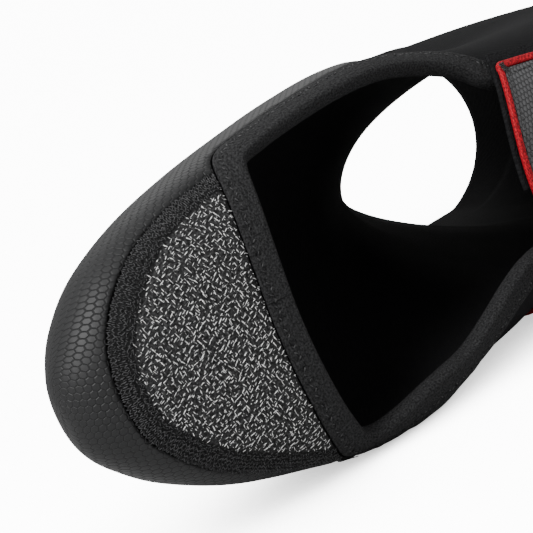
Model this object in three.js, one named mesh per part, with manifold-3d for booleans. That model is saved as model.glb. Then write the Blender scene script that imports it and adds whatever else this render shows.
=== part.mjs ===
// Cycling overshoe for the left foot, stretched to its worn form and lying empty on its inner side.
// Lengths are millimetres. The shape is written in the shoe's own frame, x from heel to toe,
// y to the outer side of the foot, z from sole to ankle, and is turned onto the floor at the end.
import * as THREE from "three";
import Module from "manifold-3d";

const wasm = await Module();
wasm.setup();

// Sizes of the whole: heel to toe, across the ball of the foot, and sole to collar
const LENGTH = 288;
const BALL_WIDTH = 97;
const HEIGHT = 168;

// Layers, measured square to the surface
const WALL = 2.2;
const HEM_STEP = 0.8;
const HEM_HEIGHT = 22.6;
const GAP = 0.4;
const INNER_GAP = 0.5;
const EDGE_GAP = 0.5;
const COVER_THICKNESS = 0.9;
const PATCH_THICKNESS = 1.2;
const TAPE_THICKNESS = 1;
const TAPE_WIDTH = 8.7;
const TAPE_INNER_WIDTH = 7;
const FLAP_THICKNESS = 1;
const STRAP_THICKNESS = 1.2;
const EDGING_WIDTH = 2.1;
const EDGING_THICKNESS = 1.5;

// Toe cover: its rear line is a plane through this place, leaning back over the instep
const COVER_LENGTH = 122;
const COVER_LINE_LEAN = 0.2;

// Strap: distance from the toe tip to its front line, that line's slant, how far it bows back at the
// strap's outer end, how its end edge leans, and its width
const STRAP_PLACE = 163;
const STRAP_SLANT = -0.1;
const STRAP_BOW = 14.2;
const STRAP_END_LEAN = 0.1;
const STRAP_WIDTH = 38;
// How far the flap reaches past the tape, the strap's end stays back from it, and the hooks overlap it
const FLAP_REACH = 2.6;
const FLAP_MARGIN = 4.5;
const HOOK_LENGTH = 35;
const FLAP_SHOWS = 1.3;
// On the inner side the strap runs level this far past the tape, slopes down, and is sewn on at its end
const STRAP_LEVEL = 9.3;
const STRAP_SLOPE = 8.5;
const STRAP_SEAM = 6;
// Where the strap leaves the flap it drops over this length, this far from the flap's end
const FLAP_DROP = 8;
const FLAP_DROP_MARGIN = 3;

// How it lies: the floor's upward direction in the shoe's frame, and how far its lowest side flattens
const UP = new THREE.Vector3(0.085, 0.996, -0.03).normalize();
const REST_DEPTH = 2.3;
const REST_BLEND = 0.5;

// Mesh density
const RIBS = 34;
const RIB_CORNER_WEIGHT = 26;
const CORNER_WEIGHT = 12;
const ROUND_STEPS = 64;

// The last. Each row is a section from toe tip to collar. It stands on bottom point (xb, zb) and
// ends at top point (xt, zt). wm and wl are half widths to the inner and outer side, vm is the
// height share of the widest place, nl and nu are the roundness below and above it, yc is the middle.
// Lengths are shares: along x of LENGTH, up z of HEIGHT, and across y of BALL_WIDTH.
const COLUMNS = ["xb", "zb", "xt", "zt", "wm", "wl", "vm", "nl", "nu", "yc"];
const UNITS = {
  xb: LENGTH,
  xt: LENGTH,
  zb: HEIGHT,
  zt: HEIGHT,
  wm: BALL_WIDTH,
  wl: BALL_WIDTH,
  yc: BALL_WIDTH,
};
const SECTIONS = [
  [1, 0.158, 1, 0.164, 0.005, 0.005, 0.5, 2, 2, -0.01],
  [0.997, 0.128, 0.998, 0.188, 0.093, 0.08, 0.5, 2, 2, -0.01],
  [0.986, 0.098, 0.99, 0.217, 0.159, 0.14, 0.48, 2.1, 2, -0.01],
  [0.965, 0.071, 0.972, 0.25, 0.222, 0.224, 0.45, 2.2, 2, -0.01],
  [0.931, 0.048, 0.938, 0.28, 0.299, 0.318, 0.42, 2.3, 2, -0.01],
  [0.875, 0.027, 0.875, 0.315, 0.381, 0.402, 0.38, 2.5, 2.2, -0.01],
  [0.806, 0.009, 0.802, 0.357, 0.438, 0.457, 0.34, 2.7, 2.35, -0.005],
  [0.729, 0, 0.722, 0.405, 0.484, 0.497, 0.31, 2.9, 2.4, 0],
  [0.653, 0, 0.642, 0.458, 0.484, 0.53, 0.29, 2.9, 2.4, 0],
  [0.573, 0.006, 0.566, 0.518, 0.423, 0.543, 0.28, 2.8, 2.3, 0],
  [0.486, 0.03, 0.5, 0.583, 0.392, 0.5, 0.28, 2.6, 2.15, 0],
  [0.392, 0.048, 0.451, 0.655, 0.351, 0.449, 0.3, 2.5, 1.9, 0.005],
  [0.288, 0.036, 0.413, 0.72, 0.351, 0.423, 0.34, 2.5, 1.8, 0.01],
  [0.181, 0.006, 0.385, 0.78, 0.361, 0.407, 0.36, 2.5, 1.8, 0.016],
  [0.083, 0.003, 0.368, 0.833, 0.361, 0.397, 0.38, 2.5, 1.8, 0.021],
  [0.014, 0.077, 0.358, 0.875, 0.361, 0.397, 0.4, 2.4, 1.8, 0.021],
  [-0.003, 0.268, 0.351, 0.905, 0.351, 0.397, 0.42, 2.2, 1.9, 0.021],
  [0.014, 0.506, 0.347, 0.935, 0.351, 0.392, 0.44, 2.1, 1.9, 0.021],
  [0.038, 0.744, 0.347, 0.97, 0.351, 0.376, 0.46, 2, 2, 0.021],
  [0.049, 0.988, 0.347, 1.012, 0.351, 0.356, 0.48, 2, 2, 0.021],
];

// Outlines on the sole as on a flat pattern: a runs from the toe tip along the bottom line,
// b is the way around from that line, to the outer side where it is more than zero.
// a is a share of LENGTH and b of BALL_WIDTH.
const MOUTH = [
  [0.251, 0.061], [0.2528, 0.206], [0.258, 0.33], [0.2649, 0.418], [0.275, 0.462], [0.2951, 0.48],
  [0.3229, 0.5], [0.3681, 0.522], [0.4097, 0.534], [0.4549, 0.531], [0.5, 0.507], [0.5382, 0.469],
  [0.566, 0.418], [0.5868, 0.356], [0.6111, 0.32], [0.6597, 0.304], [0.7292, 0.309],
  [0.7986, 0.32], [0.8611, 0.304], [0.9097, 0.237], [0.934, 0.113], [0.9392, 0], [0.934, -0.113],
  [0.9097, -0.227], [0.8611, -0.288], [0.7986, -0.299], [0.7292, -0.258], [0.6597, -0.196],
  [0.5972, -0.165], [0.5486, -0.175], [0.5104, -0.217], [0.4792, -0.268], [0.4361, -0.34],
  [0.3993, -0.361], [0.3681, -0.381], [0.3333, -0.418], [0.309, -0.439], [0.2934, -0.428],
  [0.2823, -0.381], [0.2681, -0.283], [0.258, -0.165], [0.2528, -0.052],
];
const PATCH = [
  [0.2917, -0.495], [0.2573, -0.48], [0.2153, -0.444], [0.1753, -0.39], [0.1458, -0.343],
  [0.1174, -0.284], [0.0833, -0.183], [0.0708, -0.124], [0.0639, -0.061], [0.0611, 0],
  [0.0625, 0.065], [0.0684, 0.124], [0.0809, 0.191], [0.0955, 0.248], [0.1174, 0.311],
  [0.1424, 0.365], [0.1795, 0.414], [0.2337, 0.449], [0.2917, 0.454],
];
const MOUTH_CENTRE = [0.521, 0.082];
const PATCH_CENTRE = [0.229, -0.01];

const LAST = SECTIONS.length - 1;

function spline(p0, p1, p2, p3, f) {
  const bend = (3 * p1 - p0 - 3 * p2 + p3) * f * f * f;
  return 0.5 * (2 * p1 + (p2 - p0) * f + (2 * p0 - 5 * p1 + 4 * p2 - p3) * f * f + bend);
}

// The section at station t, 0 at the toe tip and LAST at the collar
function sectionAt(t) {
  const i = Math.min(Math.floor(t), LAST - 1);
  const f = t - i;
  const section = {};
  COLUMNS.forEach((name, c) => {
    const p1 = SECTIONS[i][c];
    const p2 = SECTIONS[i + 1][c];
    const p0 = i > 0 ? SECTIONS[i - 1][c] : 2 * p1 - p2;
    const p3 = i < LAST - 1 ? SECTIONS[i + 2][c] : 2 * p2 - p1;
    section[name] = spline(p0, p1, p2, p3, f) * (UNITS[name] ?? 1);
  });
  return section;
}

// One half of a section from bottom to top, with the way along it and that way with corners stretched
function halfSection(section, side) {
  const points = [];
  const way = [];
  const stretched = [];
  for (let k = 0; k <= ROUND_STEPS; k += 1) {
    const angle = Math.PI * (k / ROUND_STEPS - 0.5);
    const c = Math.max(Math.cos(angle), 0);
    const s = Math.abs(Math.sin(angle));
    const low = k < ROUND_STEPS / 2;
    const power = 2 / (low ? section.nl : section.nu);
    const rise = s ** power;
    const v = low ? section.vm * (1 - rise) : section.vm + (1 - section.vm) * rise;
    const width = side > 0 ? section.wl : section.wm;
    points.push(new THREE.Vector3(
      section.xb + (section.xt - section.xb) * v,
      section.yc + side * width * c ** power,
      section.zb + (section.zt - section.zb) * v,
    ));
    way.push(k === 0 ? 0 : way[k - 1] + points[k].distanceTo(points[k - 1]));
  }
  const leg = (k) => {
    const first = Math.min(k, ROUND_STEPS - 1);
    return points[first + 1].clone().sub(points[first]);
  };
  for (let k = 0; k <= ROUND_STEPS; k += 1) {
    const turn = k > 0 ? leg(k).angleTo(leg(k - 1)) : 0;
    stretched.push(k === 0 ? 0 : stretched[k - 1] + way[k] - way[k - 1] + RIB_CORNER_WEIGHT * turn);
  }
  return { points, way, stretched };
}

const stationCache = new Map();
function station(t) {
  if (!stationCache.has(t)) {
    const section = sectionAt(t);
    stationCache.set(t, { outer: halfSection(section, 1), inner: halfSection(section, -1) });
  }
  return stationCache.get(t);
}

function halfLength(half) {
  return half.way[ROUND_STEPS];
}

// Way along a half section to its rib number j, ribs stand closer at corners
function ribPlace(half, j) {
  const goal = half.stretched[ROUND_STEPS] * j / (RIBS / 2);
  let k = 0;
  while (k < ROUND_STEPS - 1 && half.stretched[k + 1] < goal) k += 1;
  const f = (goal - half.stretched[k]) / (half.stretched[k + 1] - half.stretched[k]);
  return half.way[k] + (half.way[k + 1] - half.way[k]) * f;
}

// Point of the last at station t, b millimetres around from the bottom line, before it lies down
function aroundRaw(t, b) {
  const { outer, inner } = station(t);
  let place = b;
  if (place > halfLength(outer)) place -= halfLength(outer) + halfLength(inner);
  if (place < -halfLength(inner)) place += halfLength(outer) + halfLength(inner);
  const half = place >= 0 ? outer : inner;
  const along = Math.abs(place);
  let k = 0;
  while (k < ROUND_STEPS - 1 && half.way[k + 1] < along) k += 1;
  const f = (along - half.way[k]) / (half.way[k + 1] - half.way[k]);
  return half.points[k].clone().lerp(half.points[k + 1], f);
}

// Way along the bottom line to each station
const FINE = 20;
const bottomWay = [0];
for (let k = 1; k <= LAST * FINE; k += 1) {
  const p = sectionAt((k - 1) / FINE);
  const q = sectionAt(k / FINE);
  bottomWay.push(bottomWay[k - 1] + Math.hypot(q.xb - p.xb, q.zb - p.zb));
}

function stationOf(a) {
  let k = 0;
  while (k < bottomWay.length - 2 && bottomWay[k + 1] < a) k += 1;
  const f = (a - bottomWay[k]) / (bottomWay[k + 1] - bottomWay[k]);
  return Math.min(Math.max((k + f) / FINE, 0), LAST);
}

function wayTo(t) {
  const k = Math.min(Math.floor(t * FINE), LAST * FINE - 1);
  return bottomWay[k] + (bottomWay[k + 1] - bottomWay[k]) * (t * FINE - k);
}

const HEM_START = stationOf(bottomWay[bottomWay.length - 1] - HEM_HEIGHT);
const COVER_END = stationOf(COVER_LENGTH);

// The frame the part is placed in: toe to the left, sole to the front, outer side up
const left = new THREE.Vector3(-1, 0, 0).addScaledVector(UP, UP.x).normalize();
const toFloor = new THREE.Matrix4().makeBasis(left, UP.clone().cross(left), UP).transpose();

// Height the layers on the last take up below it where it touches the floor
function layersAt(t) {
  const cover = (GAP + COVER_THICKNESS) * (1 - THREE.MathUtils.smoothstep(t, COVER_END, COVER_END + 1.6));
  return t > HEM_START ? HEM_STEP : cover;
}

// Lift it until its lowest side reaches REST_DEPTH below the floor, then flatten that side
const depths = [];
for (let k = 5; k <= LAST * 5; k += 1) {
  const half = station(k / 5).inner;
  for (let j = 4; j < 16; j += 1) {
    const low = aroundRaw(k / 5, -halfLength(half) * j / 20).applyMatrix4(toFloor);
    depths.push(low.z - layersAt(k / 5));
  }
}
toFloor.premultiply(new THREE.Matrix4().makeTranslation(LENGTH / 2, 0, -Math.min(...depths) - REST_DEPTH));
const fromFloor = toFloor.clone().invert();

function around(t, b) {
  const point = aroundRaw(t, b).applyMatrix4(toFloor);
  const over = point.z - layersAt(t);
  if (over < REST_BLEND) {
    const rise = Math.max(over + REST_BLEND, 0) ** 2 / (4 * REST_BLEND);
    point.z = layersAt(t) + rise;
  }
  return point.applyMatrix4(fromFloor);
}

// Point on the last's surface at pattern place (a, b), raised by h along the surface's outward direction
function onLast(a, b, h) {
  const t = stationOf(a);
  const aStep = 0.6;
  const bStep = Math.min(aStep, halfLength(station(t).inner) / 8);
  const point = around(t, b);
  const length = (place) => halfLength(b >= 0 ? station(place).outer : station(place).inner);
  const beside = (place) => around(place, b * length(place) / length(t));
  const along = beside(stationOf(a + aStep)).sub(beside(stationOf(Math.max(a - aStep, 0))));
  const across = around(t, b + bStep).sub(around(t, b - bStep));
  return point.addScaledVector(along.cross(across).normalize(), h);
}

// Solids
function solid(points, triangles) {
  const vertProperties = new Float32Array(points.length * 3);
  points.forEach((p, k) => p.clone().applyMatrix4(toFloor).toArray(vertProperties, k * 3));
  const mesh = new wasm.Mesh({ numProp: 3, vertProperties, triVerts: new Uint32Array(triangles) });
  return new wasm.Manifold(mesh);
}

function quad(triangles, p, q, r, s) {
  triangles.push(p, r, q, p, s, r);
}

// Stations of the shell's ribs, closer where the toe and heel round over
function ribStations(end) {
  const steps = [[0, 4, 0.5], [4, 13.2, 0.5], [13.2, 15.6, 0.24], [15.6, HEM_START, 0.57]];
  const stations = [];
  steps.forEach(([from, to, step]) => {
    const count = Math.round((to - from) / step);
    for (let k = 0; k < count; k += 1) stations.push(from + (to - from) * k / count);
  });
  stations.push(HEM_START, HEM_START + 0.02, LAST);
  return stations.filter((t) => t <= end);
}

// A hollow skin between two heights over the last, closed at the toe tip, open at its far end
function skin(low, high, end, hem) {
  const stations = ribStations(end);
  const points = [];
  [high, low].forEach((height) => {
    stations.forEach((t) => {
      const { outer, inner } = station(t);
      const a = wayTo(t);
      const h = height + (height === high && t > HEM_START ? hem : 0);
      for (let j = 0; j < RIBS; j += 1) {
        const b = j <= RIBS / 2 ? ribPlace(outer, j) : -ribPlace(inner, RIBS - j);
        points.push(onLast(a, b, h));
      }
    });
    points.push(onLast(0, 0, 0).addScaledVector(new THREE.Vector3(1, 0, 0), height));
  });
  const layer = stations.length * RIBS + 1;
  const triangles = [];
  for (let j = 0; j < RIBS; j += 1) {
    const k = (j + 1) % RIBS;
    for (let i = 0; i < stations.length - 1; i += 1) {
      const p = i * RIBS + j;
      const q = i * RIBS + k;
      quad(triangles, p, q, q + RIBS, p + RIBS);
      quad(triangles, p + layer, p + RIBS + layer, q + RIBS + layer, q + layer);
    }
    const rim = (stations.length - 1) * RIBS;
    quad(triangles, rim + j, rim + k, rim + k + layer, rim + j + layer);
    triangles.push(layer - 1, j, k, 2 * layer - 1, layer + k, layer + j);
  }
  return solid(points, triangles);
}

// Outlines on the flat pattern
function onPattern([a, b]) {
  return [a * LENGTH, b * BALL_WIDTH];
}

function outline(shares, count) {
  const table = shares.map(onPattern);
  const n = table.length;
  const fine = [];
  for (let k = 0; k < n * 16; k += 1) {
    const i = Math.floor(k / 16);
    const at = (shift) => table[(i + shift + n) % n];
    fine.push([0, 1].map((c) => spline(at(-1)[c], at(0)[c], at(1)[c], at(2)[c], (k % 16) / 16)));
  }
  fine.push(fine[0]);
  const way = [0];
  let heading = 0;
  for (let k = 1; k < fine.length; k += 1) {
    const da = fine[k][0] - fine[k - 1][0];
    const db = fine[k][1] - fine[k - 1][1];
    const turn = k > 1 ? Math.abs(Math.sin(Math.atan2(db, da) - heading)) : 0;
    heading = Math.atan2(db, da);
    way.push(way[k - 1] + Math.hypot(da, db) + CORNER_WEIGHT * turn);
  }
  const line = [];
  let k = 0;
  for (let m = 0; m < count; m += 1) {
    const w = way[way.length - 1] * m / count;
    while (way[k + 1] < w) k += 1;
    const f = (w - way[k]) / (way[k + 1] - way[k]);
    line.push([0, 1].map((c) => fine[k][c] + (fine[k + 1][c] - fine[k][c]) * f));
  }
  return line;
}

// Outward directions of a closed outline that runs with the toe end first to the outer side
function outwards(line) {
  return line.map((_, k) => {
    const before = line[(k + line.length - 1) % line.length];
    const after = line[(k + 1) % line.length];
    const da = after[0] - before[0];
    const db = after[1] - before[1];
    const size = Math.hypot(da, db);
    return [-db / size, da / size];
  });
}

function widened(line, distance) {
  const out = outwards(line);
  return line.map((p, k) => [p[0] + out[k][0] * distance, p[1] + out[k][1] * distance]);
}

// A thick slab that follows the last inside an outline, to cut with
function slab(line, middle, low, high) {
  const centre = onPattern(middle);
  const shares = [1, 0.8, 0.6, 0.4, 0.2];
  const n = line.length;
  const points = [];
  [high, low].forEach((h) => {
    shares.forEach((share) => {
      line.forEach((p) => {
        const a = centre[0] + (p[0] - centre[0]) * share;
        const b = centre[1] + (p[1] - centre[1]) * share;
        points.push(onLast(a, b, h));
      });
    });
    points.push(onLast(centre[0], centre[1], h));
  });
  const layer = shares.length * n + 1;
  const triangles = [];
  for (let j = 0; j < n; j += 1) {
    const k = (j + 1) % n;
    for (let i = 0; i < shares.length - 1; i += 1) {
      const p = i * n + j;
      const q = i * n + k;
      quad(triangles, p, q, q + n, p + n);
      quad(triangles, p + layer, p + n + layer, q + n + layer, q + layer);
    }
    const last = (shares.length - 1) * n;
    triangles.push(last + k, last + j, layer - 1, last + j + layer, last + k + layer, 2 * layer - 1);
    quad(triangles, k, j, j + layer, k + layer);
  }
  return solid(points, triangles);
}

// A closed or open run of one cross-section, each place given by a function
function run(count, profile, closed, placeOf) {
  const points = [];
  for (let i = 0; i < count; i += 1) {
    profile.forEach(([d, h]) => points.push(placeOf(i, d, h)));
  }
  const m = profile.length;
  const triangles = [];
  const spans = closed ? count : count - 1;
  for (let i = 0; i < spans; i += 1) {
    const next = (i + 1) % count;
    for (let j = 0; j < m; j += 1) {
      const k = (j + 1) % m;
      quad(triangles, i * m + j, i * m + k, next * m + k, next * m + j);
    }
  }
  if (!closed) {
    const end = (count - 1) * m;
    for (let j = 0; j < m / 2 - 1; j += 1) {
      quad(triangles, j + 1, j, m - 1 - j, m - 2 - j);
      quad(triangles, end + j, end + j + 1, end + m - 2 - j, end + m - 1 - j);
    }
  }
  return solid(points, triangles);
}

// Upper: one hollow skin, cut open under the foot
const mouth = outline(MOUTH, 112);
const wallEdge = TAPE_THICKNESS + GAP;
const mouthSlab = slab(widened(mouth, wallEdge), MOUTH_CENTRE, -WALL - 5, 5);
const upperSkin = skin(-WALL, 0, LAST, HEM_STEP);
const upper = upperSkin.subtract(mouthSlab);

// Toe cover: the embossed panel over the toe, cut away for the tape and the patch
const patchLine = outline(PATCH, 60);
const tapeSlab = slab(widened(mouth, TAPE_WIDTH + EDGE_GAP), MOUTH_CENTRE, -4, 5);
const patchHole = slab(widened(patchLine, GAP), PATCH_CENTRE, -4, 5);
const coverPlane = new THREE.Vector3(1, 0, COVER_LINE_LEAN).normalize();
const coverPoint = new THREE.Vector3(LENGTH - COVER_LENGTH, 0, 0.09 * HEIGHT).applyMatrix4(toFloor);
const coverNormal = coverPlane.clone().transformDirection(toFloor);
const coverSkin = skin(GAP, GAP + COVER_THICKNESS, COVER_END + 1.7, 0);
const coverFront = coverSkin.trimByPlane(coverNormal.toArray(), coverPoint.dot(coverNormal));
const cover = coverFront.subtract(tapeSlab).subtract(patchHole);

// Toe patch: the half-moon wear patch, its rear edge at the tape
const patchSkin = skin(GAP, GAP + PATCH_THICKNESS, COVER_END, 0);
const patch = patchSkin.intersect(slab(patchLine, PATCH_CENTRE, -4, 5)).subtract(tapeSlab);

// Binding: elastic tape folded around the cut edge of the opening
const tapeTop = GAP + TAPE_THICKNESS;
const tapeBottom = -WALL - INNER_GAP - TAPE_THICKNESS;
const fold = [
  [TAPE_WIDTH, GAP], [6.1, GAP], [3.6, GAP], [wallEdge - GAP, GAP],
  [wallEdge - GAP, -WALL - INNER_GAP], [TAPE_INNER_WIDTH, -WALL - INNER_GAP],
  [TAPE_INNER_WIDTH, tapeBottom], [1, tapeBottom], [0, -WALL / 2],
  [0.9, tapeTop], [4.8, tapeTop], [TAPE_WIDTH, tapeTop],
];
const mouthOut = outwards(mouth);
const binding = run(mouth.length, fold, true, (i, d, h) => {
  const [p, out] = [mouth[i], mouthOut[i]];
  return onLast(p[0] + out[0] * d, p[1] + out[1] * d, h);
});

// Strap under the arch. Its two ends lie past the tape's outer lines, measured from the two sides of
// the opening at the strap's middle.
const strapMiddle = STRAP_PLACE + STRAP_WIDTH / 2;
function mouthSide(side) {
  const places = mouth.filter(([, b]) => Math.sign(b) === side);
  const [p, q] = places.sort((m, n) => Math.abs(m[0] - strapMiddle) - Math.abs(n[0] - strapMiddle));
  return p[1] + (q[1] - p[1]) * (strapMiddle - p[0]) / (q[0] - p[0]);
}
const flapOuterEnd = mouthSide(1) + TAPE_WIDTH + FLAP_REACH;
const strapOuterEnd = flapOuterEnd - FLAP_MARGIN;
const flapInnerEnd = strapOuterEnd - HOOK_LENGTH;
const levelEnd = mouthSide(-1) - TAPE_WIDTH - STRAP_LEVEL;
const strapInnerEnd = levelEnd - STRAP_SLOPE - STRAP_SEAM;

// Heights of its lower face along b: over the flap, the opening, the tape and the upper
const flapBase = tapeTop + GAP;
const strapOverFlap = flapBase + FLAP_THICKNESS + GAP;
const dropEnd = flapInnerEnd - FLAP_DROP_MARGIN;
function strapBase(b) {
  const overFlap = THREE.MathUtils.smoothstep(b, dropEnd - FLAP_DROP, dropEnd);
  const overTape = THREE.MathUtils.smoothstep(b, levelEnd - STRAP_SLOPE, levelEnd);
  return GAP + overTape * (flapBase - GAP) + overFlap * (strapOverFlap - flapBase);
}

function strapFront(b) {
  return STRAP_PLACE + STRAP_SLANT * b + STRAP_BOW * (Math.max(b, 0) / strapOuterEnd) ** 2;
}

function band(outerEnd, innerEnd, from, width, height, thickness) {
  const count = Math.round((outerEnd - innerEnd) / 4) + 1;
  const across = 5;
  const profile = [];
  for (let k = 0; k <= across; k += 1) profile.push([k / across, 0]);
  for (let k = across; k >= 0; k -= 1) profile.push([k / across, 1]);
  return run(count, profile, false, (i, share, top) => {
    const reach = outerEnd - STRAP_END_LEAN * share * width - innerEnd;
    const b = innerEnd + reach * i / (count - 1);
    return onLast(from(b) + share * width, b, height(b) + top * thickness);
  });
}

const strapOffset = EDGING_WIDTH + GAP;
const strap = band(strapOuterEnd - strapOffset, strapInnerEnd, (b) => strapFront(b) + strapOffset,
  STRAP_WIDTH - 2 * strapOffset, strapBase, STRAP_THICKNESS);
const flap = band(flapOuterEnd, flapInnerEnd, (b) => strapFront(b) - FLAP_SHOWS,
  STRAP_WIDTH + 2 * FLAP_SHOWS, () => flapBase, FLAP_THICKNESS);

// Edging: a round tape along the strap's front, end and rear edges. Each place of its path is a place on
// the strap's own edge and the direction outwards from there.
const edgePath = [];
const cornerSteps = 4;
const sideSteps = 20;
const endSteps = 5;
const insideWidth = STRAP_WIDTH - 2 * strapOffset;
const frontEnd = strapOuterEnd - strapOffset;
const rearEnd = frontEnd - STRAP_END_LEAN * insideWidth;
const endTurn = Math.atan(STRAP_END_LEAN);
function addEdge(from, to, steps, share, outTurn) {
  for (let k = 0; k <= steps; k += 1) {
    const b = from + (to - from) * k / steps;
    const a = strapFront(b) + strapOffset + insideWidth * share(k / steps);
    edgePath.push([a, b, Math.sin(outTurn), Math.cos(outTurn)]);
  }
}
function addCorner(b, share, from, to) {
  for (let k = 1; k < cornerSteps; k += 1) {
    const turn = from + (to - from) * k / cornerSteps;
    edgePath.push([strapFront(b) + strapOffset + insideWidth * share, b, Math.sin(turn), Math.cos(turn)]);
  }
}
addEdge(strapInnerEnd, frontEnd, sideSteps, () => 0, -Math.PI / 2);
addCorner(frontEnd, 0, -Math.PI / 2, endTurn);
addEdge(frontEnd, rearEnd, endSteps, (along) => along, endTurn);
addCorner(rearEnd, 1, endTurn, Math.PI / 2);
addEdge(rearEnd, strapInnerEnd, sideSteps, () => 1, Math.PI / 2);
const bead = [
  [GAP, EDGING_THICKNESS], [strapOffset - 0.5, EDGING_THICKNESS],
  [strapOffset, EDGING_THICKNESS - 0.5], [strapOffset, 0.5], [strapOffset - 0.5, 0], [GAP, 0],
];
const edging = run(edgePath.length, bead, false, (i, d, h) => {
  const [a, b, outA, outB] = edgePath[i];
  return onLast(a + outA * d, b + outB * d, strapBase(b + outB * d) + h);
});

// Pieces
function piece(name, body, colour, roughness) {
  const { vertProperties, triVerts, numProp } = body.getMesh();
  const geometry = new THREE.BufferGeometry();
  const position = new Float32Array(vertProperties.length / numProp * 3);
  for (let k = 0; k < position.length / 3; k += 1) {
    position.set(vertProperties.subarray(k * numProp, k * numProp + 3), k * 3);
  }
  geometry.setAttribute("position", new THREE.BufferAttribute(position, 3));
  geometry.setIndex(new THREE.BufferAttribute(new Uint32Array(triVerts), 1));
  geometry.computeVertexNormals();
  const material = new THREE.MeshStandardMaterial({ color: colour, roughness, metalness: 0 });
  const mesh = new THREE.Mesh(geometry, material);
  mesh.name = name;
  return mesh;
}

const overshoe = new THREE.Group();
overshoe.name = "cycling_overshoe";
overshoe.add(
  piece("upper", upper, 0x1d1d1f, 0.85),
  piece("toe_cover", cover, 0x232325, 0.5),
  piece("toe_patch", patch, 0x2b2b2d, 0.95),
  piece("opening_binding", binding, 0x161617, 0.9),
  piece("strap_flap", flap, 0x121213, 0.95),
  piece("strap", strap, 0x4a4a4c, 0.6),
  piece("strap_edging", edging, 0xb3202b, 0.6),
);

// The origin is on the floor, under the middle of the whole
const whole = new THREE.Box3().setFromObject(overshoe);
overshoe.position.set(-(whole.min.x + whole.max.x) / 2, -(whole.min.y + whole.max.y) / 2, 0);

export default overshoe;
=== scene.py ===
import math

import bmesh
import bpy
import numpy as np
from mathutils import Matrix, Vector
from mathutils.geometry import delaunay_2d_cdt


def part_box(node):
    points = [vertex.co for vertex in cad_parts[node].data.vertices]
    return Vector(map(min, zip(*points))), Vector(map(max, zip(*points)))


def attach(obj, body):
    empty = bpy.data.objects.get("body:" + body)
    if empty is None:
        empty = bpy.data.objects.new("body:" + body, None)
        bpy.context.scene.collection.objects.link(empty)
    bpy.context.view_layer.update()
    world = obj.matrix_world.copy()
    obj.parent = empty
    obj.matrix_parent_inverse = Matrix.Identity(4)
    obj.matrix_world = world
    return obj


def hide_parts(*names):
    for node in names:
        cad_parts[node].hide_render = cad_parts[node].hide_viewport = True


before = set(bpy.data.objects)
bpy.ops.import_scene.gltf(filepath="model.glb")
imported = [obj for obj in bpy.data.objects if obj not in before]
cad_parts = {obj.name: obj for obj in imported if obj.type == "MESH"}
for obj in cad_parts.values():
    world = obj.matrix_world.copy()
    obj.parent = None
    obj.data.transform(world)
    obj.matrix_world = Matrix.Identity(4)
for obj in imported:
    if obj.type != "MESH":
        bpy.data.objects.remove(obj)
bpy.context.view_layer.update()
scene = bpy.context.scene

# The foot shape the overshoe is stretched over: millimetres in the shoe's own frame
shoe = {
    "length": 288,  # toe tip to heel, along x
    "ballWidth": 97,  # across the ball of the foot, along y
    "height": 168,  # sole to collar, up z
    "lieUp": (0.085, 0.996, -0.03),  # the floor's upward direction in the shoe's frame
    "restDepth": 2.3,  # how deep the lowest side is flattened
    "restBlend": 0.5,  # how softly it turns into the flat place
    "wall": 2.2,
    "hemStep": 0.8,
    "hemHeight": 22.6,  # height of the hem at the collar
    "gap": 0.4,  # between layers
    "coverThickness": 0.9,
    "coverLength": 122,
    "coverLean": 0.2,
    "tapeWidth": 8.7,
    "tapeThickness": 1.0,
}

# Rows run from the toe tip along the sole, round the heel and up to the collar. Each is a section from
# its lowest point (xb, zb) to its highest (xt, zt): half widths to the inner and outer side, share of the
# height where it is widest, roundness below and above that, and its middle line.
sections = np.array([
    [1, 0.158, 1, 0.164, 0.005, 0.005, 0.5, 2, 2, -0.01],
    [0.997, 0.128, 0.998, 0.188, 0.093, 0.08, 0.5, 2, 2, -0.01],
    [0.986, 0.098, 0.99, 0.217, 0.159, 0.14, 0.48, 2.1, 2, -0.01],
    [0.965, 0.071, 0.972, 0.25, 0.222, 0.224, 0.45, 2.2, 2, -0.01],
    [0.931, 0.048, 0.938, 0.28, 0.299, 0.318, 0.42, 2.3, 2, -0.01],
    [0.875, 0.027, 0.875, 0.315, 0.381, 0.402, 0.38, 2.5, 2.2, -0.01],
    [0.806, 0.009, 0.802, 0.357, 0.438, 0.457, 0.34, 2.7, 2.35, -0.005],
    [0.729, 0, 0.722, 0.405, 0.484, 0.497, 0.31, 2.9, 2.4, 0],
    [0.653, 0, 0.642, 0.458, 0.484, 0.53, 0.29, 2.9, 2.4, 0],
    [0.573, 0.006, 0.566, 0.518, 0.423, 0.543, 0.28, 2.8, 2.3, 0],
    [0.486, 0.03, 0.5, 0.583, 0.392, 0.5, 0.28, 2.6, 2.15, 0],
    [0.392, 0.048, 0.451, 0.655, 0.351, 0.449, 0.3, 2.5, 1.9, 0.005],
    [0.288, 0.036, 0.413, 0.72, 0.351, 0.423, 0.34, 2.5, 1.8, 0.01],
    [0.181, 0.006, 0.385, 0.78, 0.361, 0.407, 0.36, 2.5, 1.8, 0.016],
    [0.083, 0.003, 0.368, 0.833, 0.361, 0.397, 0.38, 2.5, 1.8, 0.021],
    [0.014, 0.077, 0.358, 0.875, 0.361, 0.397, 0.4, 2.4, 1.8, 0.021],
    [-0.003, 0.268, 0.351, 0.905, 0.351, 0.397, 0.42, 2.2, 1.9, 0.021],
    [0.014, 0.506, 0.347, 0.935, 0.351, 0.392, 0.44, 2.1, 1.9, 0.021],
    [0.038, 0.744, 0.347, 0.97, 0.351, 0.376, 0.46, 2, 2, 0.021],
    [0.049, 0.988, 0.347, 1.012, 0.351, 0.356, 0.48, 2, 2, 0.021],
])
sections[:, [0, 2]] *= shoe["length"]
sections[:, [1, 3]] *= shoe["height"]
sections[:, [4, 5, 9]] *= shoe["ballWidth"]

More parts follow.
